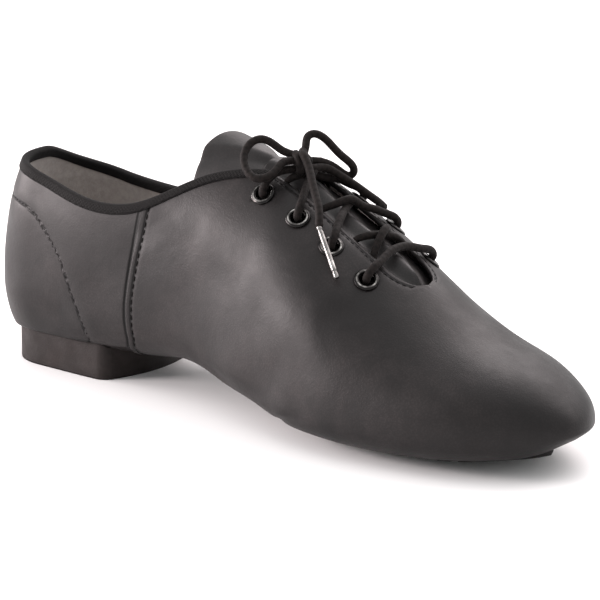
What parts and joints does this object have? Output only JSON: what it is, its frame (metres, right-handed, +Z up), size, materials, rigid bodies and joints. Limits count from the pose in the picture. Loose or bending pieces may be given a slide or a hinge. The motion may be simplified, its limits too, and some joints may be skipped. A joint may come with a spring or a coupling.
{
  "type": "jazz shoe",
  "caption": "Low lace-up dance shoe for the left foot: soft hollow upper, split sole, low heel block, padded tongue and a tied round lace.",
  "frame": {"origin": "middle of the heel block's bottom face, on the floor", "axes": "+X towards the toe, +Y to the wearer's left (the outer side of this left shoe), +Z up"},
  "size_m": [0.249, 0.0841, 0.0978],
  "materials": {
    "black_leather": "satin, fine grain",
    "binding_tape": "matte woven tape",
    "grey_lining": "matte brushed",
    "black_rubber": "matte",
    "sole_suede": "matte, moulded tread",
    "waxed_lace": "waxed round braid",
    "steel": "bright",
    "blackened_metal": "blackened, bright worn rim"
  },
  "bodies": {
    "root": {"aglet_inner": "steel", "aglet_outer": "steel", "eyelet_inner_1": "blackened_metal", "eyelet_inner_2": "blackened_metal", "eyelet_inner_3": "blackened_metal", "eyelet_inner_4": "blackened_metal", "eyelet_outer_1": "blackened_metal", "eyelet_outer_2": "blackened_metal", "eyelet_outer_3": "blackened_metal", "eyelet_outer_4": "blackened_metal", "heel_block": "black_rubber", "insole": "grey_lining", "lace_bar": "waxed_lace", "lace_cross_2": "waxed_lace", "lace_cross_3": "waxed_lace", "lace_end_inner": "waxed_lace", "lace_end_outer": "waxed_lace", "lace_knot": "waxed_lace", "lace_loop_inner": "waxed_lace", "lace_loop_outer": "waxed_lace", "outsole_forefoot": "sole_suede", "tongue": "black_leather", "topline_binding": "binding_tape", "upper": "black_leather"}
  },
  "joints": []
}
